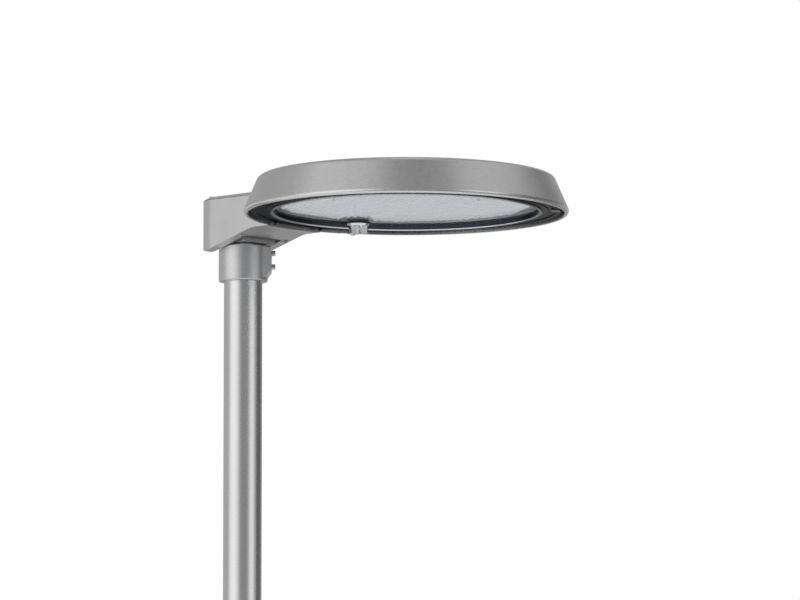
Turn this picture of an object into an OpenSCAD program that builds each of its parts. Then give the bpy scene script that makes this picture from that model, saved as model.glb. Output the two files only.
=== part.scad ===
// Street lamp post: a stepped steel post with a flange plate, a clamp collar with a tilt knuckle,
// and a round LED head on a flat bracket, whose glass frame swings down on a hinge.
// Frame: origin on the post axis at the underside of the base plate, +Z up, +X towards the head.

/* [Post] */
// Height of the head's rim above the ground
rim_height = 4000; // [3500:50:5000]
// Outside diameter of the upper tube
pole_d = 76; // [74:1:78]
// Wall of the upper tube
pole_wall = 3; // [2.5:0.5:4]
// Outside diameter of the lower tube
base_tube_d = 133; // [130:1:140]
// Wall of the lower tube
base_tube_wall = 4; // [4:0.5:5]
// Height of the lower tube's top above the ground
base_tube_top = 1300; // [1200:50:1500]
// Height of the cone between the two tubes
shoulder_h = 60; // [40:5:90]
// Side of the square base plate
plate_side = 300; // [290:10:340]
// Thickness of the base plate
plate_t = 20; // [16:1:25]
// Distance between neighbouring anchor holes
anchor_spacing = 220; // [210:5:230]
// Anchor hole diameter
anchor_hole_d = 24; // [22:1:28]
// Diameter of the cable entry in the base plate
entry_d = 90; // [80:5:100]

/* [Door] */
// Width of the door opening, measured straight across
door_w = 88; // [80:1:90]
// Height of the door opening
door_h = 400; // [350:10:450]
// Height of the opening's lower edge above the ground
door_z = 500; // [450:10:600]

/* [Head] */
// Distance from the post axis to the head's centre
reach = 435; // [432:1:438]
// Largest radius of the shade, at its rim
rim_r = 314; // [313:0.5:315]
// Height of the shade's side
shade_h = 72; // [71:0.5:74]
// Lean of the shade's side from the vertical, in degrees
shade_slope = 23.5; // [23:0.5:24]
// Sheet thickness of the shade
shade_t = 3; // [2.5:0.5:3]
// Outside radius of the glass frame
frame_r = 301; // [300:0.5:301]
// Radius of the clear opening of the glass frame
light_r = 251; // [250:0.5:251]
// Thickness of the glass
glass_t = 4; // [3:0.5:4]

/* [Bracket] */
// Width of the bracket
bracket_w = 150; // [148:1:152]
// Distance of the bracket's rear face behind the post axis
bracket_rear = 65; // [64:0.5:66]
// Top of the bracket above the rim
bracket_top = 70; // [70:0.5:71]
// Rise of the bracket's underside for each unit of length
belly_rise = 0.29; // [0.28:0.005:0.30]
// Height of the underside at the post axis, against the rim
belly_z = -28; // [-29:0.5:-27]
// Wall thickness of the casting
cast_t = 4; // [3.5:0.5:4]

/* [Collar] */
// Outside radius of the clamp collar
collar_r = 48.5; // [47:0.5:49]
// Top of the collar against the rim
collar_top = -24.5; // [-25:0.5:-24]
// Height of the collar
collar_h = 70; // [66:1:74]

/* [Hidden] */
run = 0.05;          // radial clearance of a running fit
gap = 0.3;           // clearance between neighbouring bodies
seam = 0.6;          // gap between neighbouring pieces of one body
eps = 0.01;
smooth = 96;

// Height of the upper tube's end, inside the collar
pole_top = rim_height + collar_top - 12;
base_r = base_tube_d / 2;
pole_r = pole_d / 2;

// The shade's side runs through (rim_sharp, 0) and is rounded into the rim and into the top
rim_round = 6;
top_round = 12;
crown = 10;
rim_sharp = rim_r + rim_round * ((1 + sin(shade_slope)) / cos(shade_slope) - 1);
shade_top_r = rim_sharp - shade_h * tan(shade_slope);
bead_r = rim_r - 8;          // inner radius of the thick rim bead
bead_h = 9;

// Heights in the head, all against the rim plane
glass_z = 12.3;              // underside of the glass
glass_r = light_r + 7;
lens_z = glass_z + glass_t + 1.1;
sink_z = 25;                 // underside of the heat sink plate
sink_t = 4;
sink_r = frame_r - 2;
recess_z = sink_z + sink_t + 1;
recess_r = frame_r + 5.5;

// Bracket: half width, box end inside the shade, and inner tongue end
half_w = bracket_w / 2;
box_end = reach - sqrt(pow(shade_top_r, 2) - pow(half_w, 2)) + 3;
tongue_end = box_end + 52;
lid_t = 6;
lid_slope = 9;               // width of the lid's sloping border
cover_t = 3;
pocket_w = 104;
pocket_front = 57;
pocket_top = 57;
notch_top = -6;

// Tilt pivot in the knuckle
pivot_x = -18;
pivot_z = 18;
pivot_r = 6;

// Hinge of the glass frame, beside the bracket
hinge_x = reach - 291;
hinge_z = 5;
hinge_y = 64;
hinge_pin_r = 2;

// Latches, locating clips and sensor on the glass frame, as polar angles about the head's centre
latch_angles = [38, -38];
latch_r = 294;
latch_z = 20;
latch_w = 25;
latch_pin_r = 1.5;
clip_angles = [92, -92];
sensor_angle = 156.8;
sensor_r = 227;
sensor_hole_r = 17;

// Door hinge, outside the tube at the door's edge
door_pin_r = 3;
door_pin_out = 6;
door_half = asin(door_w / 2 / base_r);
door_azimuth = -90;
door_hinge_zs = [door_z + 60, door_z + door_h - 60];
knuckle_len = 24;

// ---------- helpers ----------

// Points on an arc, from angle a0 to a1
function arc(cx, cy, r, a0, a1, n = 8) =
    [for (i = [0:n]) let (a = a0 + (a1 - a0) * i / n) [cx + r * cos(a), cy + r * sin(a)]];

// Centre of a circle of radius r inside the corner of two lines with outward normals at a and b
function corner_centre(p, r, a, b) = let (det = sin(b - a))
    [p[0] - r * (sin(b) - sin(a)) / det, p[1] - r * (cos(a) - cos(b)) / det];

module at_rim() translate([0, 0, rim_height]) children();
module at_head() translate([reach, 0, rim_height]) children();
module polar(angle, r) rotate([0, 0, angle]) translate([r, 0, 0]) children();

module rod(r, h, z = 0) translate([0, 0, z]) cylinder(r = r, h = h, $fn = smooth);
module bar_y(r, y0, y1) translate([0, y1, 0]) rotate([90, 0, 0]) cylinder(r = r, h = y1 - y0, $fn = 64);
module bar_x(r, x0, x1) translate([x0, 0, 0]) rotate([0, 90, 0]) cylinder(r = r, h = x1 - x0, $fn = 64);
module ring(r_in, r_out, z0, z1) rotate_extrude($fn = smooth)
    translate([r_in, z0]) square([r_out - r_in, z1 - z0]);
module block(lo, hi) translate(lo) cube(hi - lo);

// Socket head screw standing on z = 0, with its shank below
module cap_screw(shank_r, shank_h, head_r, head_h) difference() {
    union() {
        rod(shank_r, shank_h + eps, -shank_h);
        rod(head_r, head_h);
    }
    translate([0, 0, head_h * 0.45]) cylinder(r = head_r * 0.55, h = head_h, $fn = 6);
}

// Low-headed screw standing on z = 0
module pan_screw(shank_r, shank_h, head_r, head_h) difference() {
    union() {
        rod(shank_r, shank_h + eps, -shank_h);
        cylinder(r1 = head_r, r2 = head_r * 0.8, h = head_h, $fn = 48);
    }
    translate([0, 0, head_h * 0.4]) cylinder(r = head_r * 0.45, h = head_h, $fn = 6);
}

// ---------- post ----------

module rounded_plate(side, r, h) linear_extrude(h) union() {
    square([side - 2 * r, side], center = true);
    square([side, side - 2 * r], center = true);
    for (x = [-1, 1], y = [-1, 1]) translate([x, y] * (side / 2 - r)) circle(r = r, $fn = 48);
}

module base_plate() color("silver") difference() {
    rounded_plate(plate_side, 18, plate_t);
    for (x = [-1, 1], y = [-1, 1])
        translate([x, y, 0] * anchor_spacing / 2) rod(anchor_hole_d / 2, plate_t + 2, -1);
    rod(entry_d / 2, plate_t + 2, -1);
}

gusset_l = 52;
gusset_h = 90;
module base_gussets() color("silver") for (a = [0:90:270])
    rotate([0, 0, a]) translate([base_r + 0.05, 4, plate_t]) rotate([90, 0, 0]) linear_extrude(8)
        polygon([[0, 0], [gusset_l, 0], [gusset_l, 15], [15, gusset_h], [0, gusset_h]]);

// Sector of the tube's wall that the door opening takes out, shrunk by a gap on every edge
module door_zone(r_in, r_out, shrink) intersection() {
    ring(r_in, r_out, door_z + shrink, door_z + door_h - shrink);
    rotate([0, 0, door_azimuth]) block([0, -door_w / 2 + shrink, door_z - 1],
        [r_out + 1, door_w / 2 - shrink, door_z + door_h + 1]);
}

module lower_tube() color("silver") difference() {
    ring(base_r - base_tube_wall, base_r, plate_t, base_tube_top);
    door_zone(base_r - base_tube_wall - 1, base_r + 1, 0);
}

shoulder_edge = 4;           // height of the small cone at the shoulder's top
module shoulder() color("silver") translate([0, 0, base_tube_top]) difference() {
    union() {
        cylinder(r1 = base_r, r2 = pole_r + 2.5, h = shoulder_h - shoulder_edge, $fn = smooth);
        translate([0, 0, shoulder_h - shoulder_edge])
            cylinder(r1 = pole_r + 2.5, r2 = pole_r + 1, h = shoulder_edge, $fn = smooth);
    }
    rod(pole_r + 0.02, shoulder_h + 2, -1);
    translate([0, 0, -eps])
        cylinder(r1 = base_r - base_tube_wall, r2 = pole_r, h = shoulder_h - 30, $fn = smooth);
}

module upper_tube() color("silver")
    ring(pole_r - pole_wall, pole_r, base_tube_top + shoulder_h - 30, pole_top);

// Hinge axis of the door: outside the tube, just past the opening's edge
door_axis_a = door_azimuth + door_half + 5;
door_axis = [cos(door_axis_a), sin(door_axis_a)] * (base_r + door_pin_out);
module at_door_axis() translate([door_axis[0], door_axis[1], 0]) children();

module hinge_barrel(z0, z1) at_door_axis() difference() {
    rod(5, z1 - z0, z0);
    rod(door_pin_r + run, z1 - z0 + 2, z0 - 1);
}

// Arm from a hinge barrel over the wall, between two polar angles
module hinge_arm(a0, a1, z0, z1, r_in) difference() {
    intersection() {
        ring(r_in, base_r + door_pin_out + 3, z0, z1);
        rotate([0, 0, a0]) block([0, 0, z0], [base_r + 20, base_r, z1]);
        rotate([0, 0, a1]) block([0, -base_r, z0], [base_r + 20, 0, z1]);
    }
    at_door_axis() rod(4, z1 - z0 + 2, z0 - 1);
}

module door_hinge_leaves() color("silver") for (z = door_hinge_zs) for (s = [-1, 1])
    let (z0 = z + s * knuckle_len / 2 + (s < 0 ? -knuckle_len / 2 : gap),
         z1 = z0 + knuckle_len / 2 - gap) {
        hinge_barrel(z0, z1);
        hinge_arm(door_axis_a, door_axis_a + 8, z0, z1, base_r + 0.05);
    }

module door() color("silver") {
    difference() {
        door_zone(base_r - base_tube_wall + 0.2, base_r, 1.5);
        rotate([0, 0, door_azimuth]) translate([0, 0, door_z + door_h / 2]) bar_x(7, 0, base_r + 5);
    }
    for (z = door_hinge_zs) let (z0 = z - knuckle_len / 2 + gap, z1 = z + knuckle_len / 2 - gap) {
        hinge_barrel(z0, z1);
        hinge_arm(door_axis_a - 15, door_axis_a, z0, z1, base_r + 0.5);
        hinge_arm(door_axis_a - 15, door_azimuth + door_half - 2.5, z0, z1, base_r - 1);
    }
}

module door_hinge_pins() color("dimgray") for (z = door_hinge_zs)
    at_door_axis() rod(door_pin_r, knuckle_len * 2 + 2, z - knuckle_len - 1);

// Three-sided key lock, set flush in the door, with a clamp bar behind it
module door_lock() color("dimgray") rotate([0, 0, door_azimuth]) translate([0, 0, door_z + door_h / 2]) {
    difference() {
        bar_x(6.8, base_r - 12, base_r - 1);
        translate([base_r - 6, 0, 0]) rotate([0, 90, 0]) cylinder(r = 4.5, h = 10, $fn = 3);
    }
    block([base_r - 15, -12, -8], [base_r - 12, 12, 8]);
}

module equipment_rail() color("silver") rotate([0, 0, door_azimuth])
    block([-46, -20, door_z - 30], [-43, 20, door_z + door_h + 30]);

module fuse_box() color("dimgray") rotate([0, 0, door_azimuth]) difference() {
    block([-42.9, -30, door_z + 150], [4, 30, door_z + 330]);
    block([-1, -24, door_z + 290], [5, 24, door_z + 320]);
}

module earth_stud() color("goldenrod") rotate([0, 0, door_azimuth]) translate([-42.9, 0, door_z + 60]) {
    bar_x(4, 0, 25);
    for (x = [0, 10]) bar_x(7, x, x + 6);
}

cable_r = 5;
module supply_cable() color("black") rod(cable_r, pole_top + 30 - door_z - 330.2, door_z + 330.2);

// ---------- collar and knuckle ----------

boss_angle = 42;
boss_half = 26;
boss_out = 56;
clamp_zs = [-38, -65];
collar_bottom = collar_top - collar_h;

module collar_boss() translate([0, boss_half, 0]) rotate([90, 0, 0]) linear_extrude(2 * boss_half)
    polygon([[36, -28], [boss_out - 1.5, -28], [boss_out, -30], [boss_out, -74], [46, -88], [36, -88]]);

module collar() color("silver") at_rim() difference() {
    union() {
        rod(collar_r, collar_h - 4, collar_bottom + 2);
        rotate_extrude($fn = smooth) polygon([[0, collar_bottom], [collar_r - 1.5, collar_bottom],
            [collar_r, collar_bottom + 2], [0, collar_bottom + 2]]);
        rotate_extrude($fn = smooth) polygon([[0, collar_top - 2], [collar_r, collar_top - 2],
            [collar_r - 1.5, collar_top], [0, collar_top]]);
        rotate([0, 0, boss_angle]) collar_boss();
    }
    rod(pole_r + run, collar_h - 11.5, collar_bottom - eps);
    rod(8, collar_h + 2, collar_bottom - 1);
    for (z = clamp_zs) rotate([0, 0, boss_angle]) translate([0, 0, z]) bar_x(4.05, pole_r - 1, boss_out + 5);
}

knuckle_half = 44;
knuckle_front = 45;
knuckle_z = collar_top + 3.5;
knuckle_bolt_xy = [[30, 28], [30, -28]];
barrel_r = 22;

module knuckle() color("silver") at_rim() difference() {
    union() {
        block([-40, -knuckle_half, knuckle_z], [knuckle_front, knuckle_half, 8]);
        rod(26, 3.5, collar_top);
        translate([pivot_x, 0, pivot_z]) bar_y(barrel_r, -knuckle_half, knuckle_half);
        block([pivot_x - barrel_r, -knuckle_half, 0], [pivot_x + barrel_r, knuckle_half, pivot_z]);
    }
    rod(8, 80, collar_top - 1);
    translate([pivot_x, 0, pivot_z]) bar_y(pivot_r + run, -knuckle_half - 1, knuckle_half + 1);
    for (p = knuckle_bolt_xy) translate([p[0], p[1], 0]) {
        rod(4.05, 60, collar_top - 20);
        rod(7.5, 30, -2);
    }
}

// Screws that hold the knuckle on the collar
module knuckle_screws() color("dimgray") at_rim() for (p = knuckle_bolt_xy)
    translate([p[0], p[1], -2]) cap_screw(4, -2 - knuckle_z, 6.5, 7);

module clamp_screws() color("dimgray") at_rim() for (z = clamp_zs)
    rotate([0, 0, boss_angle]) translate([boss_out, 0, z])
        rotate([0, 90, 0]) cap_screw(4, boss_out - pole_r - 0.1, 5.4, 7.5);

// ---------- bracket ----------

// Side outline of the bracket: rounded at the rear, sloping underside that levels out at the rim
rear_round = 30;
belly_a = atan(belly_rise);
level_z = -1;
blend_r = 95;
bend_x = (level_z - belly_z) / belly_rise;
blend_end = bend_x + blend_r * tan(belly_a / 2);
rear_centre = corner_centre([-bracket_rear, belly_z - belly_rise * bracket_rear], rear_round,
    180, 270 + belly_a);
function side_outline(top, end) = concat(
    arc(rear_centre[0], rear_centre[1], rear_round, 180, 270 + belly_a, 10),
    arc(blend_end, level_z - blend_r, blend_r, 90 + belly_a, 90, 6),
    [[end, level_z], [end, top], [-bracket_rear, top]]);

module side_extrude(points, half) translate([0, half, 0]) rotate([90, 0, 0])
    linear_extrude(2 * half) polygon(points);

// Plan outline, rounded at the rear, inset by d
plan_round = 48;
module plan(x_end, d, z0, z1) translate([0, 0, z0]) linear_extrude(z1 - z0) union() {
    translate([-bracket_rear + plan_round, -half_w + d])
        square([x_end + bracket_rear - plan_round, bracket_w - 2 * d]);
    translate([-bracket_rear + d, -half_w + plan_round])
        square([plan_round, bracket_w - 2 * plan_round]);
    for (y = [-1, 1]) translate([-bracket_rear + plan_round, y * (half_w - plan_round)])
        circle(r = plan_round - d, $fn = 64);
}

housing_top = bracket_top - lid_t - 1;
cover_half = half_w - 5;
cover_start = 50;
bay_start = pocket_front + cast_t;

// Depth t of the bracket's underside, between two stations along x
module belly_skin(t, half, x0, x1) intersection() {
    difference() {
        side_extrude(side_outline(40, x1 + 20), half);
        translate([0, 0, t]) side_extrude(side_outline(60, x1 + 30), half + 1);
    }
    block([x0, -half, -80], [x1, half, 30]);
}

module pocket() {
    block([-bracket_rear - 5, -pocket_w / 2, -70], [pocket_front, pocket_w / 2, notch_top]);
    intersection() {
        plan(pocket_front, cast_t, -70, pocket_top);
        block([-bracket_rear, -pocket_w / 2, -70], [pocket_front, pocket_w / 2, pocket_top]);
    }
}

module rim_recess(r) translate([reach, 0, -20]) cylinder(r = r, h = 20 + recess_z, $fn = smooth);

module bracket_housing() color("darkgray") at_rim() difference() {
    union() {
        intersection() {
            side_extrude(side_outline(housing_top, box_end), half_w);
            plan(box_end, 0, -80, 80);
        }
        block([box_end - 1, -half_w + 8, recess_z], [tongue_end, half_w - 8, recess_z + 4]);
        difference() {
            translate([reach, 0, 0]) wall_piece(flange_half, flange_top);
            block([0, -half_w + 1, -5], [reach, half_w - 1, flange_top + 5]);
        }
    }
    // Channels beside and above the pocket
    for (s = [-1, 1]) intersection() {
        translate([0, 0, cast_t]) side_extrude(side_outline(housing_top + 20, box_end), half_w);
        plan(bay_start + 5, cast_t, -80, 80);
        mirror([0, s < 0 ? 1 : 0, 0]) block([-60, pocket_w / 2 + cast_t, -80], [bay_start + 5, 80, 80]);
    }
    intersection() {
        plan(bay_start + 5, cast_t, pocket_top + 3, 80);
        block([-60, -80, 0], [bay_start + 5, 80, 80]);
    }
    // Driver bay, open below as far as the cover reaches
    block([bay_start, -half_w + cast_t, recess_z + 4], [box_end - cast_t, half_w - cast_t, 80]);
    intersection() {
        block([bay_start, -cover_half + 4, -40], [box_end - cast_t, cover_half - 4, 60]);
        difference() {
            block([0, -90, -60], [box_end, 90, 60]);
            rim_recess(recess_r + cast_t);
        }
    }
    pocket();
    rim_recess(recess_r);
    // Seat of the lower cover
    translate([0, 0, -eps]) cover_blank(0, 2 * eps);
    translate([pivot_x, 0, pivot_z]) bar_y(pivot_r + 0.02, -60, 60);
    for (p = tongue_bolts) translate([p[0], p[1], 0]) rod(3.05, 20, recess_z - 1);
    for (p = lid_bolts) translate([p[0], p[1], housing_top - 14]) rod(2, 20);
    translate([gland_x, 0, pocket_top - 1]) rod(6.5, 6);
}

// Lower cover with a gap on every edge, and some extra thickness for cutting its seat
module cover_blank(shrink, extra = 0) difference() {
    belly_skin(cover_t + extra, cover_half - shrink, cover_start + shrink, reach - 250);
    block([0, -pocket_w / 2 - cast_t - shrink, -80],
        [bay_start + shrink, pocket_w / 2 + cast_t + shrink, 40]);
    rim_recess(recess_r + shrink);
}

module bracket_cover() color("gray") at_rim() difference() {
    cover_blank(seam);
    for (s = [-1, 1]) translate([cover_screw_x, s * cover_screw_y, 0]) rod(3.5, 60, -40);
}

cover_screw_x = 56;
cover_screw_y = 63.5;
module cover_screws() color("dimgray") at_rim() for (s = [-1, 1])
    translate([cover_screw_x, s * cover_screw_y, belly_z + belly_rise * cover_screw_x - 1.3])
        rotate([0, -belly_a, 0]) mirror([0, 0, 1]) pan_screw(2.5, 3, 4.5, 2.2);

lid_bolts = [for (x = [-30, box_end - 12], y = [-1, 1]) [x, y * (half_w - 15)]];

// Lid border: two crossing prisms and a cone in each rounded corner
module lid_slab() {
    lower = bracket_top - lid_t;
    round_x = plan_round - bracket_rear;
    translate([round_x, 0, 0]) rotate([90, 0, 90]) linear_extrude(box_end - round_x)
        polygon([[-half_w, lower], [half_w, lower], [half_w - lid_slope, bracket_top],
            [lid_slope - half_w, bracket_top]]);
    translate([0, half_w - plan_round, 0]) rotate([90, 0, 0]) linear_extrude(bracket_w - 2 * plan_round)
        polygon([[-bracket_rear, lower], [round_x + 1, lower], [round_x + 1, bracket_top],
            [lid_slope - bracket_rear, bracket_top]]);
    for (s = [-1, 1]) translate([round_x, s * (half_w - plan_round), lower])
        cylinder(r1 = plan_round, r2 = plan_round - lid_slope, h = lid_t, $fn = smooth);
}

module bracket_lid() color("darkgray") at_rim() difference() {
    union() {
        lid_slab();
        difference() {
            plan(box_end - cast_t - 1, cast_t + 1, housing_top - 3, bracket_top - lid_t + eps);
            plan(box_end - cast_t - 4, cast_t + 4, housing_top - 4, bracket_top);
        }
    }
    for (p = lid_bolts) translate([p[0], p[1], bracket_top - 10]) rod(2.1, 20);
}

module lid_screws() color("dimgray") at_rim() for (p = lid_bolts)
    translate([p[0], p[1], bracket_top]) pan_screw(1.95, lid_t + 0.9, 3.8, 2);

module pivot_bolt() color("dimgray") at_rim() translate([pivot_x, 0, pivot_z]) {
    bar_y(pivot_r, -pocket_w / 2 - cast_t - 1, pocket_w / 2 + cast_t + 1);
    for (s = [-1, 1]) translate([0, s * (pocket_w / 2 + cast_t + 4.1), 0])
        rotate([90, 0, 0]) cylinder(r = 10.5, h = 8, center = true, $fn = 6);
}

tongue_bolts = [for (x = [box_end + 20, box_end + 40], y = [-45, 45]) [x, y]];
module mounting_bolts() color("dimgray") at_rim() for (p = tongue_bolts)
    translate([p[0], p[1], recess_z + 4]) cap_screw(3, 4 + 1 + sink_t, 5, 6);

// ---------- head ----------

rim_centre = corner_centre([rim_sharp, 0], rim_round, shade_slope, -90);
top_a = 90 - atan(crown / shade_top_r);
top_centre = corner_centre([shade_top_r, shade_h], top_round, shade_slope, top_a);
function side_r(z) = rim_sharp - z * tan(shade_slope);
shade_outline = concat(
    [[bead_r, 0.8], [bead_r + 0.8, 0]],
    arc(rim_centre[0], rim_centre[1], rim_round, -90, shade_slope, 10),
    arc(top_centre[0], top_centre[1], top_round, shade_slope, top_a, 8),
    [[0, shade_h + crown], [0, shade_h + crown - shade_t]],
    arc(top_centre[0], top_centre[1], top_round - shade_t, top_a, shade_slope, 8),
    [[side_r(bead_h + 4) - shade_t / cos(shade_slope), bead_h + 4], [bead_r, bead_h]]);

pillar_r = 258;
pillar_angles = [30:60:330];
function crown_z(r) = shade_h + crown * (1 - r / shade_top_r);

// The bracket closes the shade's wall up to this half width and height
flange_half = 116;
flange_top = 48;
flange_gap = 2.2;
module wall_piece(half, top) intersection() {
    rotate_extrude($fn = 180) polygon([[bead_r, 0.8], [bead_r + 0.8, 0], [rim_r - 5, 0],
        [rim_r - 1.5, 1.6], [rim_r, 5], [side_r(top), top], [side_r(top) - 4, top],
        [side_r(bead_h + 4) - 4, bead_h + 4], [bead_r, bead_h]]);
    block([-rim_r - 5, -half, -1], [-200, half, top]);
}

module shade() color("darkgray") at_head() difference() {
    rotate_extrude($fn = 180) polygon(shade_outline);
    block([-rim_r - 5, -half_w - 0.8, -5], [box_end - reach + 0.8, half_w + 0.8, shade_h + 20]);
    block([-rim_r - 5, -flange_half - flange_gap, -5], [-255, flange_half + flange_gap, flange_top + 0.8]);
    for (a = pillar_angles) polar(a, pillar_r) rod(2.1, 20, shade_h - 10);
}

module shade_pillars() color("silver") at_head() for (a = pillar_angles) polar(a, pillar_r) difference() {
    rod(4.5, crown_z(pillar_r + 4.5) - shade_t - 0.4 - recess_z + 1, recess_z - 1);
    rod(2.05, 20, shade_h - shade_t - 12);
}

module shade_screws() color("dimgray") at_head() for (a = pillar_angles)
    polar(a, pillar_r) translate([0, 0, crown_z(pillar_r - 4) + 0.1]) pan_screw(2, 9, 3.8, 2);

fin_t = 2.5;
fin_h = 26;
fin_pitch = 24;
skirt_r = 270;
module heat_sink() color("lightgray") at_head() difference() {
    union() {
        rod(sink_r, sink_t, sink_z);
        ring(skirt_r, skirt_r + 3, 13, sink_z + eps);
        for (i = [0:5], s = [-1, 1]) let (y = s * (96 + i * fin_pitch), half = sqrt(245 * 245 - y * y))
            block([-half, y - fin_t / 2, sink_z + sink_t - eps],
                [half, y + fin_t / 2, sink_z + sink_t + fin_h]);
    }
    for (p = tongue_bolts) translate([p[0] - reach, p[1], 0]) rod(3.05, 20, sink_z - 1);
    // The frame's hinge side stays free below the plate
    block([-rim_r, -half_w, 5], [box_end - reach - 8, half_w, sink_z - eps]);
    polar(sensor_angle, sensor_r) rod(22, 30, lens_z - 5);
}

module led_board() color("seagreen") at_head() difference() {
    rod(245, 1.6, sink_z - 1.7);
    polar(sensor_angle, sensor_r) rod(30, 10, sink_z - 5);
}

led_pitch = 44;
led_side = 3.5;
module leds() color("gold") at_head() for (i = [-5:5], j = [-5:5])
    let (x = (i + j / 2) * led_pitch, y = j * led_pitch * sin(60), r = norm([x, y]))
        if (r < 200) translate([x - led_side / 2, y - led_side / 2, sink_z - 2.7])
            cube([led_side, led_side, 1]);

lens_r = light_r - 1;
lens_skin = 2;
lens_screw_r = 160;
lens_screw_angles = [12, 132, 252];
module lens_plate() color("lightblue") at_head() difference() {
    rod(lens_r, sink_z - 0.1 - lens_z, lens_z);
    difference() {
        rod(lens_r - 2, 20, lens_z + lens_skin);
        polar(sensor_angle, sensor_r) rod(29, 20, lens_z);
        for (a = lens_screw_angles) polar(a, lens_screw_r) rod(5, 4.1 - lens_skin, lens_z + lens_skin - eps);
    }
    polar(sensor_angle, sensor_r) rod(26.5, 20, lens_z - 1);
    for (a = lens_screw_angles) polar(a, lens_screw_r) rod(1.6, 20, lens_z - 1);
}

module lens_screws() color("dimgray") at_head() for (a = lens_screw_angles) polar(a, lens_screw_r)
    translate([0, 0, lens_z]) mirror([0, 0, 1]) pan_screw(1.5, 3.9, 2.5, 0.8);

module driver() color("black") at_rim() {
    block([bay_start + 6, -60, recess_z + 6], [bay_start + 60, 60, recess_z + 31]);
    for (y = [-1, 1]) block([bay_start + 14, y * 63.5 - 3.5, recess_z + 6],
        [bay_start + 52, y * 63.5 + 3.5, recess_z + 9]);
}

module surge_protector() color("dimgray") at_rim()
    block([bay_start + 4, 18, 4], [bay_start + 40, 56, 30]);

module terminal_block() color("ivory") at_rim() difference() {
    block([bay_start + 4, -56, 6], [bay_start + 30, 10, 26]);
    for (i = [0:4]) translate([bay_start + 17, -49 + i * 13, 14]) rod(3, 20);
}

gland_x = 16;
module cable_gland() color("black") at_rim() translate([gland_x, 0, pocket_top]) difference() {
    union() {
        rod(6.4, 8, -4);
        rod(10, 3.5, 3.1);
        rod(10, 4, -4.1);
    }
    rod(3.5, 30, -10);
}

// Leads from the terminals to the driver and on to the heat sink, as plain bent rods
module internal_leads() color("black") at_rim() for (i = [0:2]) translate([0, -49 + i * 13, 0]) {
    translate([bay_start + 33, 0, 18]) rod(1.5, recess_z - 12.3);
    translate([bay_start + 33, 0, 18]) rotate([0, -90, 0]) rod(1.5, 2.9);
}

module hinge_cheek(y0, y1) {
    translate([hinge_x, 0, hinge_z]) bar_y(4.5, y0, y1);
    block([hinge_x - 4.5, y0, hinge_z], [hinge_x + 4.5, y1, sink_z - 0.02]);
}

module hinge_brackets() color("dimgray") at_rim() for (s = [-1, 1], side = [-1, 1]) difference() {
    let (y = s * hinge_y + side * 7.3) hinge_cheek(y - 2, y + 2);
    translate([hinge_x, 0, hinge_z]) bar_y(hinge_pin_r + 0.02, -80, 80);
}

module hinge_pins() color("dimgray") at_rim() translate([hinge_x, 0, hinge_z])
    for (s = [-1, 1]) bar_y(hinge_pin_r, s * hinge_y - 10.5, s * hinge_y + 10.5);

module latch_mounts() color("dimgray") at_head() for (a = latch_angles) rotate([0, 0, a]) difference() {
    for (s = [-1, 1]) block([latch_r - 5, s * 15 - 1.5, latch_z - 4],
        [latch_r + 4, s * 15 + 1.5, sink_z - 0.02]);
    translate([latch_r, 0, latch_z]) bar_y(latch_pin_r + 0.02, -20, 20);
}

module latch_pins() color("silver") at_head() for (a = latch_angles) rotate([0, 0, a])
    translate([latch_r, 0, latch_z]) bar_y(latch_pin_r, -17.5, 17.5);

// Latch lever: an eye on its pin, a web, and a foot whose nose reaches under the frame's flange
module latch(a) color("dimgray") at_head() rotate([0, 0, a]) difference() {
    union() {
        translate([latch_r, 0, latch_z]) bar_y(3.2, -latch_w / 2, latch_w / 2);
        block([latch_r - 1.5, -latch_w / 2, 4], [latch_r + 1, latch_w / 2, latch_z]);
        block([latch_r - 13, -latch_w / 2, 3.8], [latch_r + 3, latch_w / 2, 6.2]);
    }
    translate([latch_r, 0, latch_z]) bar_y(latch_pin_r + run, -20, 20);
}
module latch_left() latch(latch_angles[0]);
module latch_right() latch(latch_angles[1]);

// ---------- glass frame ----------

module frame_seal() color("black") at_head() ring(skirt_r - 1, skirt_r + 4, 10.4, 12.9);

flange_z = 6.6;
frame_outline = concat(
    [[light_r, 11.3], [light_r + 5, 4]],
    arc(light_r + 7.3, 4.8, 2.4, 200, 270, 4),
    [[light_r + 10, 2.4], [light_r + 11.6, 3.2], [light_r + 11.8, 5.4], [light_r + 24, 5.4],
     [light_r + 24.8, flange_z], [light_r + 38, flange_z], [light_r + 38.6, 5.2],
     [frame_r - 1.5, 5.2], [frame_r, 6.4], [frame_r, 14], [frame_r - 3, 14], [frame_r - 3, 10],
     [glass_r + 9, 10], [glass_r + 7, 12], [glass_r + 7, 17.2], [glass_r + 1, 17.2], [glass_r + 1, 11.3]]);

module frame_ring() color("dimgray") at_head() difference() {
    union() {
        difference() {
            rotate_extrude($fn = 180) polygon(frame_outline);
            for (a = latch_angles) rotate([0, 0, a])
                block([latch_r - 10, -17.5, 0], [frame_r + 2, 17.5, 20]);
            for (a = clip_angles) rotate([0, 0, a])
                block([frame_r - 9, -10, 0], [frame_r + 2, 10, 20]);
            for (s = [-1, 1]) block([-frame_r - 2, s * hinge_y - 11, 0],
                [hinge_x - reach + 10.5, s * hinge_y + 11, 20]);
        }
        for (s = [-1, 1]) {
            translate([hinge_x - reach, 0, hinge_z]) bar_y(4.5, s * hinge_y - 4.8, s * hinge_y + 4.8);
            block([hinge_x - reach, s * hinge_y - 4.8, 6.6], [hinge_x - reach + 12, s * hinge_y + 4.8, 10]);
        }
    }
    translate([hinge_x - reach, 0, hinge_z]) bar_y(hinge_pin_r + run, -80, 80);
    polar(sensor_angle, sensor_r) rod(26, 30, 12);
}

module glass_gasket() color("black") at_head() difference() {
    ring(light_r + 0.5, glass_r + 0.5, 11.3, glass_z);
    polar(sensor_angle, sensor_r) rod(26, 30, 0);
}

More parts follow.
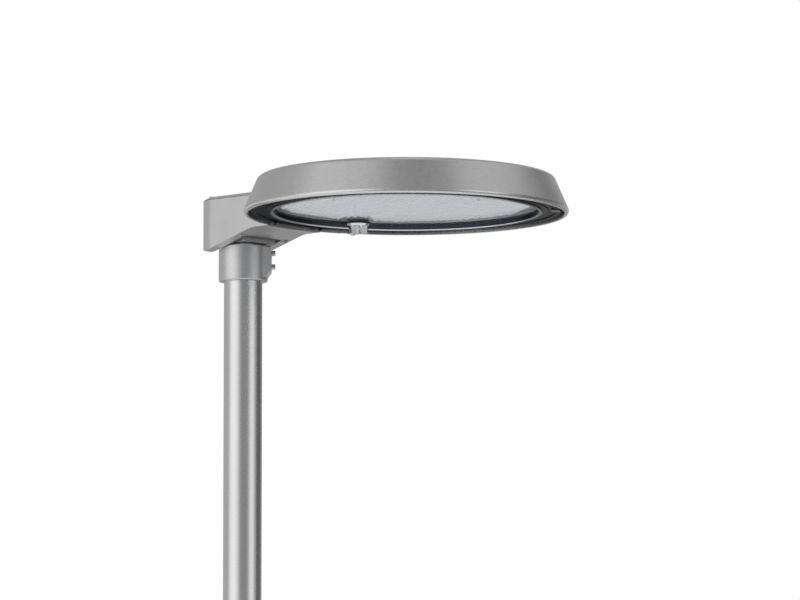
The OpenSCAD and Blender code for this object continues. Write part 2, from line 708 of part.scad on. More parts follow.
module glass() color("azure", 0.4) at_head() difference() {
    rod(glass_r, glass_t, glass_z);
    polar(sensor_angle, sensor_r) rod(sensor_hole_r, 30, 0);
}

module glass_retainers() color("silver") at_head() for (a = [10:40:330]) rotate([0, 0, a])
    block([glass_r - 3, -9, 17.2], [glass_r + 6, 9, 18.4]);

module frame_clips() color("black") at_head() for (a = clip_angles) rotate([0, 0, a])
    block([frame_r - 9 + 0.05, -8.5, 5.6], [frame_r - 1, 8.5, 10]);

module sensor_socket() color("black") at_head() polar(sensor_angle, sensor_r) difference() {
    union() {
        rod(sensor_hole_r - 0.1, 9, glass_z - 2);
        rod(21, 4, glass_z + glass_t + 0.05);
    }
    rod(9 + run, 6, glass_z - 3);
}

module sensor_gasket() color("black") at_head() polar(sensor_angle, sensor_r)
    ring(sensor_hole_r - 0.1, 24, glass_z - 3.2, glass_z);

// Sensor cap: flange, two lobes with a slit between them, and a small button below
module sensor_cap() color("silver") at_head() polar(sensor_angle, sensor_r) {
    rod(8.9, 6, glass_z - 7);
    difference() {
        translate([0, 0, glass_z - 8]) cylinder(r1 = 19, r2 = 22.5, h = 4.4, $fn = smooth);
        rod(8, 6, glass_z - 8.5);
    }
    rotate([0, 0, 42 - sensor_angle]) difference() {
        union() {
            translate([-7.5, 0, 0]) rod(13.5, 15, glass_z - 22.7);
            translate([9.5, 0, 0]) rod(10.5, 13.5, glass_z - 21.2);
            translate([-10, 0, 0]) rod(3.5, 3.2, glass_z - 25.8);
        }
        block([1.5, -30, glass_z - 23], [2.7, 30, glass_z - 11]);
    }
}

// ---------- selection ----------

base_plate();
base_gussets();
lower_tube();
shoulder();
upper_tube();
door_hinge_leaves();
equipment_rail();
fuse_box();
earth_stud();
supply_cable();
door();
door_hinge_pins();
door_lock();
collar();
knuckle();
knuckle_screws();
clamp_screws();
bracket_housing();
bracket_lid();
bracket_cover();
lid_screws();
cover_screws();
pivot_bolt();
mounting_bolts();
shade();
shade_pillars();
shade_screws();
heat_sink();
led_board();
leds();
lens_plate();
lens_screws();
driver();
surge_protector();
terminal_block();
cable_gland();
internal_leads();
hinge_brackets();
hinge_pins();
latch_mounts();
latch_pins();
frame_seal();
frame_ring();
glass();
glass_gasket();
glass_retainers();
frame_clips();
sensor_socket();
sensor_gasket();
sensor_cap();
latch_left();
latch_right();
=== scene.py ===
import itertools
import math

import bmesh
import bpy
from mathutils import Matrix, Vector


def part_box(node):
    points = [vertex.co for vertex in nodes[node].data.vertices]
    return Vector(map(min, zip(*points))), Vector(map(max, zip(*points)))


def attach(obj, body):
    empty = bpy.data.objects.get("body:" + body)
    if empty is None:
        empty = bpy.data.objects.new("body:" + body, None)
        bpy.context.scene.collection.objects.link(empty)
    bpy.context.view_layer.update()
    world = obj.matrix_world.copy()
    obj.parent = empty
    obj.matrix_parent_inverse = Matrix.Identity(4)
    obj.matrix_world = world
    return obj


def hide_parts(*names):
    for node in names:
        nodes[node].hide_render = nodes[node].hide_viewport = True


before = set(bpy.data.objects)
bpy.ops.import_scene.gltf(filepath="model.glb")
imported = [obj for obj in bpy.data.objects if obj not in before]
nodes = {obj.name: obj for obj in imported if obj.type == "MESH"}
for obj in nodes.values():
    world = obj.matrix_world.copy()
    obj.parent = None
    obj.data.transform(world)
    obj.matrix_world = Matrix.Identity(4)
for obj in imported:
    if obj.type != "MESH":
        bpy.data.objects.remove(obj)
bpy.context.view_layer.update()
scene = bpy.context.scene
MM = 0.001

# ---------- camera: behind a long lens, slightly below the head ----------

CAMERA_AZIMUTH = math.radians(42.36)
CAMERA_PITCH = math.radians(-6.86)
CAMERA_DISTANCE = 12.0
CAMERA_LENS = 273.6
AIM_RIGHT = 0.3096
AIM_BELOW_RIM = 0.1306

rim_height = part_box("shade")[0].z
camera_right = Vector((math.cos(CAMERA_AZIMUTH), math.sin(CAMERA_AZIMUTH), 0))
camera_side = Vector((math.sin(CAMERA_AZIMUTH), -math.cos(CAMERA_AZIMUTH), 0))
camera_back = camera_side * math.cos(CAMERA_PITCH) + Vector((0, 0, math.sin(CAMERA_PITCH)))
aim = camera_right * AIM_RIGHT + Vector((0, 0, rim_height - AIM_BELOW_RIM))

camera_data = bpy.data.cameras.new("camera")
camera_data.lens = CAMERA_LENS
camera_data.sensor_width = 36
camera_data.clip_end = 200
camera = bpy.data.objects.new("camera", camera_data)
scene.collection.objects.link(camera)
camera.location = aim + camera_back * CAMERA_DISTANCE
camera.rotation_euler = (-camera_back).to_track_quat("-Z", "Y").to_euler()
scene.camera = camera
scene.view_settings.view_transform = "Standard"

# ---------- node helpers ----------


class Tree:
    """Short names for the shader nodes that the materials and the world use."""

    def __init__(self, tree):
        self.tree = tree
        tree.nodes.clear()

    def add(self, kind, **values):
        node = self.tree.nodes.new("ShaderNode" + kind)
        for name, value in values.items():
            setattr(node, name, value)
        return node

    def put(self, socket, value):
        if isinstance(value, bpy.types.NodeSocket):
            self.tree.links.new(value, socket)
        else:
            socket.default_value = value

    def math(self, operation, *values):
        node = self.add("Math", operation=operation)
        for socket, value in zip(node.inputs, values):
            self.put(socket, value)
        return node.outputs[0]

    def dot(self, vector, constant):
        node = self.add("VectorMath", operation="DOT_PRODUCT")
        self.put(node.inputs[0], vector)
        node.inputs[1].default_value = constant
        return node.outputs["Value"]

    def ease(self, value, start, end, low=0.0, high=1.0):
        node = self.add("MapRange", interpolation_type="SMOOTHSTEP")
        for socket, item in zip(node.inputs, (value, start, end, low, high)):
            self.put(socket, item)
        return node.outputs[0]

    def blend_colour(self, factor, a, b):
        node = self.add("Mix", data_type="RGBA")
        self.put(node.inputs["Factor"], factor)
        colours = [s for s in node.inputs if s.type == "RGBA"]
        self.put(colours[0], a)
        self.put(colours[1], b)
        return [s for s in node.outputs if s.type == "RGBA"][0]

    def parts_of(self, vector):
        """The x, y and z sockets of a vector."""
        node = self.add("SeparateXYZ")
        self.put(node.inputs[0], vector)
        return node.outputs[0], node.outputs[1], node.outputs[2]

    def distance(self, x, y):
        """Distance of the point (x, y) from the axis."""
        squares = (self.math("MULTIPLY", value, value) for value in (x, y))
        return self.math("SQRT", self.math("ADD", *squares))

    def noise(self, vector, scale, detail=4.0, rough=0.55):
        node = self.add("TexNoise")
        self.put(node.inputs["Vector"], vector)
        node.inputs["Scale"].default_value = scale
        node.inputs["Detail"].default_value = detail
        node.inputs["Roughness"].default_value = rough
        return node.outputs["Fac"]


def shade_of(colour, factor):
    """A colour made darker or brighter by a factor, with full alpha."""
    return tuple(min(1.0, c * factor) for c in colour[:3]) + (1.0,)


def object_vector(t, stretch=(1, 1, 1), centre=None):
    """Object coordinates in metres, stretched along the axes, or as radius and height round an axis."""
    coordinates = t.add("TexCoord").outputs["Object"]
    mapping = t.add("Mapping")
    t.put(mapping.inputs["Vector"], coordinates)
    if centre is not None:
        mapping.inputs["Location"].default_value = (-centre[0], -centre[1], 0)
        x, y, z = t.parts_of(mapping.outputs[0])
        join = t.add("CombineXYZ")
        round_axis = (t.distance(x, y), t.math("ARCTAN2", y, x), z)
        for socket, value, factor in zip(join.inputs, round_axis, stretch):
            t.put(socket, t.math("MULTIPLY", value, factor))
        return join.outputs[0]
    mapping.inputs["Scale"].default_value = stretch
    return mapping.outputs[0]


COAT_ROUGHNESS = 0.12


def new_material(name):
    """An empty material and the tree that fills it."""
    material = bpy.data.materials.new(name)
    material.use_nodes = True
    return material, Tree(material.node_tree)


def surface(name, colour, metallic=0.0, rough=0.4, grain=900, grain_tone=0.08, grain_rough=0.06,
            cloud=9, cloud_tone=0.05, bump=0.00004, bump_scale=None, stretch=(1, 1, 1), centre=None,
            coat=0.0, specular=0.5, edge_tint=1.0, glow=0.0, glow_colour=(1, 1, 1, 1), finish=None):
    """A finish with fine grain and slow drift in its colour, grain in its roughness, and a fine bump.

    The function given as finish may change the colour and roughness over a part of the piece.
    """
    material, t = new_material(name)
    shader = t.add("BsdfPrincipled")
    t.put(t.add("OutputMaterial").inputs["Surface"], shader.outputs[0])
    where = object_vector(t, stretch, centre)
    fine = t.noise(where, grain)
    slow = t.noise(object_vector(t), cloud, 3.0)
    tone = t.blend_colour(t.ease(fine, 0.25, 0.75), shade_of(colour, 1 - grain_tone),
                          shade_of(colour, 1 + grain_tone))
    drift = t.blend_colour(t.ease(slow, 0.3, 0.7), shade_of((1, 1, 1), 1 - cloud_tone), (1, 1, 1, 1))
    mixed = t.add("Mix", data_type="RGBA", blend_type="MULTIPLY")
    colours = [s for s in mixed.inputs if s.type == "RGBA"]
    mixed.inputs["Factor"].default_value = 1.0
    t.put(colours[0], tone)
    t.put(colours[1], drift)
    final = [s for s in mixed.outputs if s.type == "RGBA"][0]
    roughness = t.ease(fine, 0.25, 0.75, rough - grain_rough, rough + grain_rough)
    if finish is not None:
        final, roughness = finish(t, final, roughness)
    t.put(shader.inputs["Base Color"], final)
    t.put(shader.inputs["Roughness"], roughness)
    shader.inputs["Metallic"].default_value = metallic
    shader.inputs["Specular IOR Level"].default_value = specular
    shader.inputs["Specular Tint"].default_value = (edge_tint, edge_tint, edge_tint, 1)
    shader.inputs["Coat Weight"].default_value = coat
    shader.inputs["Coat Roughness"].default_value = COAT_ROUGHNESS
    shader.inputs["Emission Color"].default_value = glow_colour
    shader.inputs["Emission Strength"].default_value = glow
    relief = t.add("Bump")
    relief.inputs["Distance"].default_value = bump
    t.put(relief.inputs["Height"], t.noise(where, bump_scale or grain, 3.0))
    t.put(shader.inputs["Normal"], relief.outputs[0])
    return material


# ---------- world: a white cyclorama for the camera, softboxes for everything else ----------

AMBIENT = 0.29
BELOW_HORIZON = 0.17
HORIZON_FROM = math.radians(-16)
HORIZON_TO = math.radians(-1)
ROOF_LIGHT = 0.7
ROOF_FROM = math.radians(72)
ROOF_TO = math.radians(82)

world = bpy.data.worlds.new("studio")
scene.world = world
world.use_nodes = True
w = Tree(world.node_tree)
direction = w.add("TexCoord").outputs["Generated"]
azimuth = w.math("ARCTAN2", w.dot(direction, camera_right), w.dot(direction, camera_side))
elevation = w.math("ARCSINE", w.dot(direction, (0, 0, 1)))


def softbox(at, half_width, edge, foot, top, strength, fade=12):
    """A soft panel centred at an angle to the right of the camera, between two elevations."""
    a, h, e, low, up, f = (math.radians(v) for v in (at, half_width, edge, foot, top, fade))
    off = w.math("SUBTRACT", azimuth, a)
    wrapped = w.math("ABSOLUTE", w.math("ARCTAN2", w.math("SINE", off), w.math("COSINE", off)))
    across = w.ease(wrapped, h + e, h)
    rise = w.ease(elevation, low - f, low)
    fall = w.ease(elevation, up + f, up)
    return w.math("MULTIPLY", w.math("MULTIPLY", across, w.math("MULTIPLY", rise, fall)), strength)


key_low = softbox(-54, 14, 32, -4, 36, 0.80)
key_high = softbox(-64, 30, 28, 46, 62, 0.32)
fill_low = softbox(58, 8, 19, -4, 28, 0.72)
fill_high = softbox(88, 28, 26, 40, 62, 0.37)
side_left = softbox(-132, 26, 26, -4, 50, 0.16)
side_right = softbox(172, 10, 16, 2, 50, 0.24)
dark_flag = softbox(110, 22, 14, -4, 20, -0.16)
sweep_behind = softbox(180, 34, 30, -15, 0, 0.16, fade=6)
floor_glow = softbox(-80, 30, 40, -60, -12, 0.55)
panels = [key_low, key_high, fill_low, fill_high, side_left, side_right, dark_flag, sweep_behind,
          floor_glow]
level = w.ease(elevation, HORIZON_FROM, HORIZON_TO, BELOW_HORIZON, AMBIENT)
for panel in panels:
    level = w.math("ADD", level, panel)
level = w.math("ADD", level, w.ease(elevation, ROOF_FROM, ROOF_TO, 0.0, ROOF_LIGHT))
room = w.add("Background")
w.put(room.inputs["Strength"], level)
room.inputs["Color"].default_value = (1.0, 0.998, 1.0, 1.0)
backdrop = w.add("Background")
backdrop.inputs["Color"].default_value = (1, 1, 1, 1)
backdrop.inputs["Strength"].default_value = 1.0
choice = w.add("MixShader")
w.put(choice.inputs[0], w.add("LightPath").outputs["Is Camera Ray"])
w.put(choice.inputs[1], room.outputs[0])
w.put(choice.inputs[2], backdrop.outputs[0])
w.put(w.add("OutputWorld").inputs["Surface"], choice.outputs[0])

# ---------- mesh helpers ----------


def turns(steps):
    """Angles in even steps round a full turn."""
    return [2 * math.pi * k / steps for k in range(steps)]


def piece(name, verts, faces, material, body, smooth=True):
    """A new mesh object in the scene, riding on a body unless that is None."""
    mesh = bpy.data.meshes.new(name)
    mesh.from_pydata([tuple(v) for v in verts], [], faces)
    mesh.update()
    for polygon in mesh.polygons:
        polygon.use_smooth = smooth
    mesh.materials.append(material)
    made = bpy.data.objects.new(name, mesh)
    scene.collection.objects.link(made)
    if body is not None:
        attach(made, body)
    return made


# ---------- floor ----------

FLOOR_RADIUS = 6.4
FLOOR_FADE = 3.6
FLOOR_GLOW = 0.34
FLOOR_DROP = 0.0005
FLOOR_RINGS = 8
FLOOR_STEPS = 96


def make_floor():
    """A round sheet of pale floor that fades into the white backdrop before its edge."""
    material, t = new_material("studio_floor")
    where = object_vector(t)
    fine = t.noise(where, 60)
    slow = t.noise(where, 1.3, 3.0)
    shader = t.add("BsdfPrincipled")
    t.put(shader.inputs["Base Color"], t.blend_colour(t.ease(slow, 0.3, 0.7), (0.76, 0.77, 0.78, 1),
                                                      (0.80, 0.805, 0.81, 1)))
    t.put(shader.inputs["Roughness"], t.ease(fine, 0.3, 0.7, 0.5, 0.65))
    relief = t.add("Bump")
    relief.inputs["Distance"].default_value = 0.0004
    t.put(relief.inputs["Height"], fine)
    t.put(shader.inputs["Normal"], relief.outputs[0])
    x, y, _ = t.parts_of(where)
    shader.inputs["Emission Color"].default_value = (1, 1, 1, 1)
    shader.inputs["Emission Strength"].default_value = FLOOR_GLOW
    mix = t.add("MixShader")
    t.put(mix.inputs[0], t.ease(t.distance(x, y), FLOOR_FADE, FLOOR_RADIUS - 0.1))
    t.put(mix.inputs[1], shader.outputs[0])
    t.put(mix.inputs[2], t.add("BsdfTransparent").outputs[0])
    t.put(t.add("OutputMaterial").inputs["Surface"], mix.outputs[0])
    verts = [(0, 0, 0)]
    faces = []
    for i in range(1, FLOOR_RINGS + 1):
        r = FLOOR_RADIUS * i / FLOOR_RINGS
        verts += [(r * math.cos(a), r * math.sin(a), 0) for a in turns(FLOOR_STEPS)]
    for k in range(FLOOR_STEPS):
        n = (k + 1) % FLOOR_STEPS
        faces.append((0, 1 + k, 1 + n))
        for i in range(FLOOR_RINGS - 1):
            a, b = 1 + i * FLOOR_STEPS, 1 + (i + 1) * FLOOR_STEPS
            faces.append((a + k, b + k, b + n, a + n))
    floor = piece("studio_floor", verts, faces, material, None)
    floor.location.z = -FLOOR_DROP


make_floor()

# ---------- finishes ----------

glass_low, glass_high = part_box("glass")
head_axis = ((glass_low.x + glass_high.x) / 2, 0)
lens_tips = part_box("lens_plate")[0].z
# Painted light: the lens plate is given a faint glow, though its LEDs are off, in place of the studio
# light it gets from below.
PAINTED_LENS_GLOW = 0.16
GLASS_LEDGE = 7 * MM
LIP_INNER = 4.4 * MM
LIP_OUTER = 11.9 * MM
LIP_HEIGHT = 5.2 * MM


def painted_valley_shade(t, colour, roughness):
    """Painted shade between the small lenses: bright at their tips, darker and rougher where they meet the
    plate.
    """
    height = t.parts_of(t.add("TexCoord").outputs["Object"])[2]
    valley_shade = t.ease(height, lens_tips + 0.5 * MM, lens_tips + 5 * MM)
    return (t.blend_colour(valley_shade, colour, (0.42, 0.47, 0.52, 1)),
            t.math("ADD", roughness, t.math("MULTIPLY", valley_shade, 0.2)))


def painted_rim_highlight(t, colour, roughness):
    """The rolled rim of the lamp shade carries a painted highlight: its colour is brighter than the
    side's, and its roughness a little lower.
    """
    height = t.parts_of(t.add("TexCoord").outputs["Object"])[2]
    low = t.ease(height, rim_height + 9 * MM, rim_height + 5 * MM)
    return (t.blend_colour(low, colour, (0.76, 0.76, 0.755, 1)),
            t.math("SUBTRACT", roughness, t.math("MULTIPLY", low, 0.04)))


def painted_lip_highlight(t, colour, roughness):
    """The inner lip of the glass frame carries a painted highlight, a bright band of colour with lower
    roughness; the rest of the frame is black.
    """
    radius, _, height = t.parts_of(object_vector(t, centre=head_axis))
    opening = (glass_high.y - glass_low.y) / 2 - GLASS_LEDGE
    inner = opening + LIP_INNER
    outer = opening + LIP_OUTER
    top = rim_height + LIP_HEIGHT
    inside = t.math("MULTIPLY", t.ease(radius, inner, inner + 0.6 * MM),
                    t.ease(radius, outer, outer - 0.4 * MM))
    low = t.math("MULTIPLY", inside, t.ease(height, top, top - 0.6 * MM))
    return (t.blend_colour(low, colour, (0.80, 0.81, 0.83, 1)),
            t.math("SUBTRACT", roughness, t.math("MULTIPLY", low, 0.06)))


finishes = {
    "post_paint": surface("post_paint", (0.75, 0.75, 0.755), metallic=1.0, rough=0.27, grain=900,
                          grain_tone=0.015, grain_rough=0.01, cloud=5, cloud_tone=0.03, bump=0.0000004,
                          stretch=(1, 1, 0.3)),
    "cast_paint": surface("cast_paint", (0.70, 0.70, 0.705), metallic=0.85, rough=0.36, grain=560,
                          grain_tone=0.10, grain_rough=0.05, cloud=14, cloud_tone=0.06, bump=0.00006,
                          bump_scale=900),
    "shade_satin": surface("shade_satin", (0.65, 0.65, 0.65), metallic=0.92, rough=0.33, grain=620,
                           grain_tone=0.07, grain_rough=0.04, cloud=7, cloud_tone=0.05, bump=0.00002,
                           centre=head_axis, stretch=(1, 0.05, 1), finish=painted_rim_highlight),
    "dark_frame": surface("dark_frame", (0.045, 0.049, 0.062), metallic=0.9, rough=0.22, grain=1500,
                          grain_tone=0.12, grain_rough=0.05, bump=0.00002, edge_tint=0.3,
                          finish=painted_lip_highlight),
    "brushed_alu": surface("brushed_alu", (0.80, 0.80, 0.80), metallic=1.0, rough=0.36, grain=500,
                           grain_tone=0.12, grain_rough=0.08, stretch=(0.05, 1, 1), bump=0.00003),
    "stainless": surface("stainless", (0.68, 0.67, 0.65), metallic=1.0, rough=0.28, grain=2200,
                         grain_tone=0.12, grain_rough=0.07, cloud=60, cloud_tone=0.12, bump=0.00003),
    "polished_steel": surface("polished_steel", (0.86, 0.86, 0.85), metallic=1.0, rough=0.15, grain=900,
                              grain_tone=0.06, grain_rough=0.04, cloud=90, cloud_tone=0.08, bump=0.00001),
    "dark_steel": surface("dark_steel", (0.22, 0.22, 0.23), metallic=0.9, rough=0.34, grain=2000,
                          grain_tone=0.15, grain_rough=0.06, cloud=60, cloud_tone=0.15, bump=0.00003),
    "rubber": surface("rubber", (0.018, 0.018, 0.019), rough=0.62, grain=1500, grain_tone=0.3,
                      grain_rough=0.1, bump=0.00008, specular=0.35),
    "black_plastic": surface("black_plastic", (0.028, 0.028, 0.03), rough=0.42, grain=1300,
                             grain_tone=0.25, grain_rough=0.08, bump=0.00006),
    "grey_plastic": surface("grey_plastic", (0.33, 0.34, 0.35), rough=0.45, grain=1300, grain_tone=0.06,
                            grain_rough=0.07, bump=0.00006),
    "ivory_plastic": surface("ivory_plastic", (0.80, 0.76, 0.64), rough=0.4, grain=1300, grain_tone=0.05,
                             grain_rough=0.06, bump=0.00004),
    "board_white": surface("board_white", (0.84, 0.86, 0.85), rough=0.35, grain=700, grain_tone=0.04,
                           grain_rough=0.05, cloud=40, bump=0.00003, coat=0.3),
    "led_phosphor": surface("led_phosphor", (0.93, 0.76, 0.18), rough=0.3, grain=2500, grain_tone=0.12,
                            grain_rough=0.06, bump=0.00003, coat=0.6),
    "cable_sheath": surface("cable_sheath", (0.035, 0.035, 0.036), rough=0.5, grain=400, grain_tone=0.2,
                            grain_rough=0.08, stretch=(1, 1, 0.08), bump=0.00008),
    "brass": surface("brass", (0.78, 0.57, 0.26), metallic=1.0, rough=0.27, grain=1800, grain_tone=0.1,
                     grain_rough=0.06, cloud=80, cloud_tone=0.12, bump=0.00003),
    # lens_acrylic carries the painted glow and the painted shade between its domes.
    "lens_acrylic": surface("lens_acrylic", (0.90, 0.94, 0.98), rough=0.16, grain=900, grain_tone=0.06,
                            grain_rough=0.05, cloud=30, cloud_tone=0.05, bump=0.00002, coat=0.8,
                            glow=PAINTED_LENS_GLOW, glow_colour=(0.95, 0.97, 1.0, 1), finish=painted_valley_shade),
}

GLASS_FRESNEL = 1.06
GLASS_GLOSS = 0.35


def clear_glass():
    """Thin low-reflection glass: clear from the front, a faint film of dust, brighter at a glance."""
    material, t = new_material("clear_glass")
    where = object_vector(t)
    dust = t.ease(t.noise(where, 240), 0.35, 0.75, 0.004, 0.03)
    smear = t.ease(t.noise(where, 9, 3.0), 0.3, 0.7, 0.03, 0.08)
    film = t.add("BsdfPrincipled")
    film.inputs["Base Color"].default_value = (0.80, 0.83, 0.84, 1)
    film.inputs["IOR"].default_value = 1.45
    t.put(film.inputs["Roughness"], smear)
    see_through = t.add("BsdfTransparent")
    see_through.inputs["Color"].default_value = (0.985, 0.987, 0.988, 1)
    glance = t.add("Fresnel")
    glance.inputs["IOR"].default_value = GLASS_FRESNEL
    mix = t.add("MixShader")
    t.put(mix.inputs[0], t.math("ADD", dust, t.math("MULTIPLY", glance.outputs[0], GLASS_GLOSS)))
    t.put(mix.inputs[1], see_through.outputs[0])
    t.put(mix.inputs[2], film.outputs[0])
    t.put(t.add("OutputMaterial").inputs["Surface"], mix.outputs[0])
    return material


finishes["clear_glass"] = clear_glass()

worn_by = {
    "post_paint": ["base_plate", "base_gussets", "lower_tube", "shoulder", "upper_tube", "door",
                   "door_hinge_leaves"],
    "cast_paint": ["collar", "knuckle", "bracket_housing", "bracket_lid", "bracket_cover"],
    "shade_satin": ["shade"],
    "dark_frame": ["frame_ring"],
    "brushed_alu": ["heat_sink", "shade_pillars", "equipment_rail", "glass_retainers"],
    "polished_steel": ["sensor_cap"],
    "stainless": ["door_hinge_pins", "door_lock", "knuckle_screws", "clamp_screws", "lid_screws",
                  "cover_screws", "pivot_bolt", "mounting_bolts", "shade_screws", "lens_screws",
                  "hinge_pins", "latch_pins"],
    "dark_steel": ["hinge_brackets", "latch_mounts", "latch_left", "latch_right"],
    "rubber": ["frame_seal", "glass_gasket", "sensor_gasket"],
    "black_plastic": ["frame_clips", "sensor_socket", "cable_gland", "driver"],
    "grey_plastic": ["fuse_box", "surge_protector"],
    "ivory_plastic": ["terminal_block"],
    "board_white": ["led_board"],
    "led_phosphor": ["leds"],
    "cable_sheath": ["supply_cable", "internal_leads"],
    "brass": ["earth_stud"],
    "clear_glass": ["glass"],
    "lens_acrylic": ["lens_plate"],
}
for finish, names in worn_by.items():
    for name in names:
        nodes[name].data.materials.clear()
        nodes[name].data.materials.append(finishes[finish])

# ---------- lens plate with its array of small domes ----------

DOME_PITCH = 12.8 * MM
DOME_HEIGHT = 5.4 * MM
DOME_RINGS = 4
DOME_STEPS = 12
DOME_FILL = 0.985
PLATE_STEPS = 360
SENSOR_MARGIN = 2.5 * MM
LENS_SCREW_CIRCLE = 160 * MM
LENS_SCREW_ANGLES = (12, 132, 252)


def lens_outline(centre, radius, notch_at, notch_r):
    """The plate's round edge, with a bite taken out of it for the sensor."""
    away = (centre - notch_at).normalized()
    side = Vector((-away.y, away.x, 0))
    outline = []
    for a in turns(PLATE_STEPS):
        p = centre + radius * Vector((math.cos(a), math.sin(a), 0))
        if (p - notch_at).length < notch_r:
            along = (p - notch_at).dot(side)
            p = notch_at + side * along + away * math.sqrt(max(notch_r ** 2 - along ** 2, 0))
        outline.append(p)
    return outline


def add_dome(verts, faces, p, tip, foot):
    """A shallow cap of a ball that hangs down to tip, added to the lists."""
    ball = (foot ** 2 + DOME_HEIGHT ** 2) / (2 * DOME_HEIGHT)
    start = len(verts)
    verts.append((p.x, p.y, tip))
    for ring in range(1, DOME_RINGS + 1):
        r = foot * ring / DOME_RINGS
        z = tip + ball - math.sqrt(ball ** 2 - r ** 2)
        verts += [(p.x + r * math.cos(a), p.y + r * math.sin(a), z) for a in turns(DOME_STEPS)]
    for k in range(DOME_STEPS):
        n = (k + 1) % DOME_STEPS
        faces.append((start, start + 1 + n, start + 1 + k))
        for ring in range(DOME_RINGS - 1):
            a = start + 1 + ring * DOME_STEPS
            b = a + DOME_STEPS
            faces.append((a + k, a + n, b + n, b + k))


def make_lens_plate():
    """The lens plate with its field of small domes, in place of the plain CAD plate."""
    low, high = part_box("lens_plate")
    radius = (high.y - low.y) / 2
    centre = Vector((head_axis[0], 0, 0))
    cap_low, cap_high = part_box("sensor_gasket")
    notch_at = Vector(((cap_low.x + cap_high.x) / 2, (cap_low.y + cap_high.y) / 2, 0))
    notch_r = (cap_high.x - cap_low.x) / 2 + SENSOR_MARGIN
    screws = [centre + Vector((LENS_SCREW_CIRCLE * math.cos(a), LENS_SCREW_CIRCLE * math.sin(a), 0))
              for a in map(math.radians, LENS_SCREW_ANGLES)]
    outline = lens_outline(centre, radius, notch_at, notch_r)
    count = len(outline)
    verts = [(p.x, p.y, z) for z in (low.z + DOME_HEIGHT, high.z) for p in outline]
    faces = [tuple(range(count)), tuple(range(2 * count - 1, count - 1, -1))]
    faces += [(k, count + k, count + (k + 1) % count, (k + 1) % count) for k in range(count)]
    plate_faces = len(faces)
    foot = DOME_PITCH / 2 * DOME_FILL
    reach_out = int(radius / DOME_PITCH) + 2
    rows = range(-reach_out, reach_out + 1)
    for i, j in itertools.product(rows, rows):
        p = centre + Vector((DOME_PITCH * j * math.sin(math.radians(60)), DOME_PITCH * (i + j / 2), 0))
        on_plate = (p - centre).length <= radius - foot and (p - notch_at).length >= notch_r + foot
        if on_plate and min((p - s).length for s in screws) >= foot:
            add_dome(verts, faces, p, low.z, foot)
    made = piece("lens_domes", verts, faces, finishes["lens_acrylic"], "head")
    for polygon in made.data.polygons:
        polygon.use_smooth = polygon.index >= plate_faces
    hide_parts("lens_plate")


make_lens_plate()

# ---------- weld beads on the post ----------

BEAD_STEP = 1.1 * MM
BEAD_SIDES = 8


def bead(verts, faces, points, size, closed=False):
    """A rippled round bead along a line of points, thinner at open ends, added to the lists."""
    start = len(verts)
    count = len(points)
    for k, p in enumerate(points):
        before = points[k - 1] if k or closed else points[0]
        after = points[(k + 1) % count] if k + 1 < count or closed else points[-1]
        along = (after - before).normalized()
        side = along.cross(Vector((0.31, 0.17, 0.94))).normalized()
        up = side.cross(along)
        end_fade = 1.0 if closed else min(1.0, (min(k, count - 1 - k) + 1) / 4)
        r = size * end_fade * (1 + 0.13 * math.sin(2 * math.pi * k / 4))
        verts += [p + (side * math.cos(a) + up * math.sin(a)) * r for a in turns(BEAD_SIDES)]
    for k in range(count if closed else count - 1):
        a, b = start + k * BEAD_SIDES, start + (k + 1) % count * BEAD_SIDES
        for i in range(BEAD_SIDES):
            n = (i + 1) % BEAD_SIDES
            faces.append((a + i, a + n, b + n, b + i))


def circle(radius, z):
    """Points round the post, a whole number of ripples of 4 points."""
    steps = 4 * int(2 * math.pi * radius / BEAD_STEP / 4)
    return [Vector((radius * math.cos(a), radius * math.sin(a), z)) for a in turns(steps)]


def straight(p, q):
    """Points along a straight line."""
    steps = max(8, int((q - p).length / BEAD_STEP))
    return [p.lerp(q, k / steps) for k in range(steps + 1)]


def make_welds():
    """Weld beads round the tubes' joints and along both sides of each gusset."""
    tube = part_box("lower_tube")
    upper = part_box("upper_tube")
    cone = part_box("shoulder")
    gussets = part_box("base_gussets")
    plate_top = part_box("base_plate")[1].z
    tube_r, upper_r = tube[1].x, upper[1].x
    gusset_face = 4 * MM
    on_plate = plate_top + 0.6 * MM
    on_tube = tube_r + 0.6 * MM
    verts, faces = [], []
    bead(verts, faces, circle(tube_r + 1 * MM, plate_top + 1 * MM), 3.4 * MM, closed=True)
    bead(verts, faces, circle(tube_r - 0.6 * MM, cone[0].z), 2.0 * MM, closed=True)
    bead(verts, faces, circle(upper_r + 0.4 * MM, cone[1].z), 1.8 * MM, closed=True)
    for k in range(4):
        turn = Matrix.Rotation(math.pi / 2 * k, 3, "Z")
        for s in (-1, 1):
            y = s * gusset_face
            foot = turn @ Vector((tube_r + 4 * MM, y, on_plate))
            toe = turn @ Vector((gussets[1].x - 2 * MM, y, on_plate))
            low = turn @ Vector((on_tube, y, plate_top + 4 * MM))
            high = turn @ Vector((on_tube, y, gussets[1].z - 2 * MM))
            bead(verts, faces, straight(foot, toe), 2.2 * MM)
            bead(verts, faces, straight(low, high), 2.2 * MM)
    made = piece("post_welds", verts, faces, finishes["post_paint"], "pole")


make_welds()

# ---------- fuse carriers and screws on the fuse box ----------


def block_mesh(low, high, radius, segments=2):
    """Vertices and faces of a box with rounded edges."""
    bm = bmesh.new()
    bmesh.ops.create_cube(bm, size=1.0)
    size, middle = high - low, (low + high) / 2
    for v in bm.verts:
        v.co = Vector((v.co.x * size.x, v.co.y * size.y, v.co.z * size.z)) + middle
    bmesh.ops.bevel(bm, geom=bm.edges[:], offset=radius, segments=segments, profile=0.5, affect="EDGES")
    bm.verts.index_update()
    verts = [v.co.copy() for v in bm.verts]
    faces = [tuple(v.index for v in f.verts) for f in bm.faces]
    bm.free()
    return verts, faces


def join_mesh(parts):
    """Several lists of vertices and faces as one."""
    verts, faces = [], []
    for part_verts, part_faces in parts:
        start = len(verts)
        verts += part_verts
        faces += [tuple(start + i for i in face) for face in part_faces]
    return verts, faces


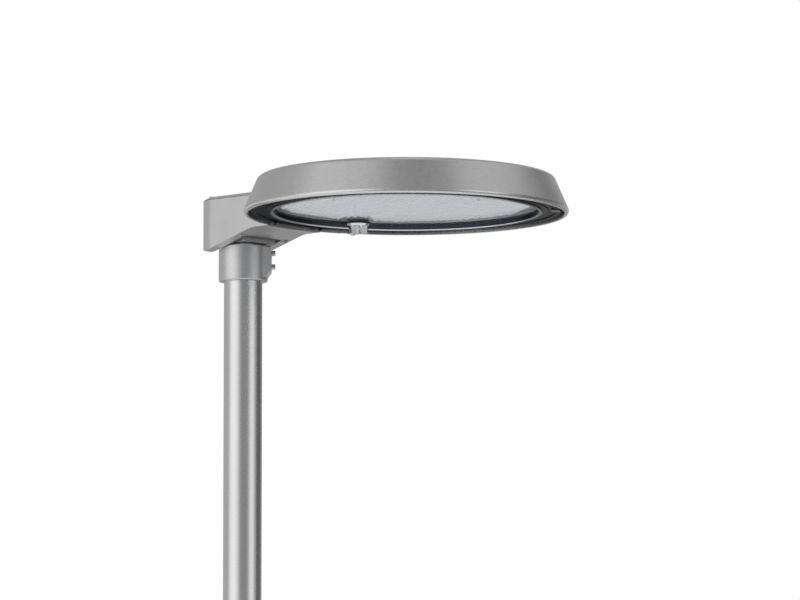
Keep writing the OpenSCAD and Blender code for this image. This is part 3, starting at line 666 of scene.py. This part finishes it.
CARRIER_SPREAD = 11.5 * MM
RIB_PITCH = 3.2 * MM
HEAD_STEPS = 24
HEAD_RADIUS = 3.4 * MM
HEAD_HEIGHT = 1.4 * MM


def ribbed_block(middle):
    """A fuse carrier's face: a rounded block with five grip ribs, looking along -Y."""
    parts = [block_mesh(middle + Vector((-10, -2, -12)) * MM, middle + Vector((10, 4, 12)) * MM, 1.2 * MM)]
    for rib in range(-2, 3):
        at = middle + Vector((0, 0, rib * RIB_PITCH))
        parts.append(block_mesh(at + Vector((-6, -3.2, -0.8)) * MM, at + Vector((6, -1, 0.8)) * MM,
                                0.3 * MM, 1))
    return join_mesh(parts)


def socket_head(centre):
    """A small domed screw head with a round recess, looking along -Y."""
    rim = [Vector((HEAD_RADIUS * math.cos(a), 0, HEAD_RADIUS * math.sin(a))) for a in turns(HEAD_STEPS)]
    verts = []
    for scale, rise in ((1, 0), (0.86, 1), (0.42, 1), (0.42, 0.3)):
        verts += [centre + p * scale + Vector((0, -HEAD_HEIGHT * rise, 0)) for p in rim]
    faces = [(b * HEAD_STEPS + k, b * HEAD_STEPS + (k + 1) % HEAD_STEPS,
              (b + 1) * HEAD_STEPS + (k + 1) % HEAD_STEPS, (b + 1) * HEAD_STEPS + k)
             for b in range(3) for k in range(HEAD_STEPS)]
    faces.append(tuple(3 * HEAD_STEPS + k for k in range(HEAD_STEPS)))
    return verts, faces


def make_fuse_details():
    """Two fuse carriers and the four lid screws on the front of the fuse box."""
    low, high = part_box("fuse_box")
    for index, s in enumerate((-1, 1)):
        verts, faces = ribbed_block(Vector((s * CARRIER_SPREAD, low.y, high.z - 25 * MM)))
        made = piece("fuse_carrier_%d" % index, verts, faces, finishes["black_plastic"], "pole",
                     smooth=False)
    verts, faces = join_mesh([socket_head(Vector((s * 23 * MM, low.y, z)))
                              for s in (-1, 1) for z in (low.z + 10 * MM, high.z - 55 * MM)])
    made = piece("fuse_box_screws", verts, faces, finishes["stainless"], "pole", smooth=False)


make_fuse_details()
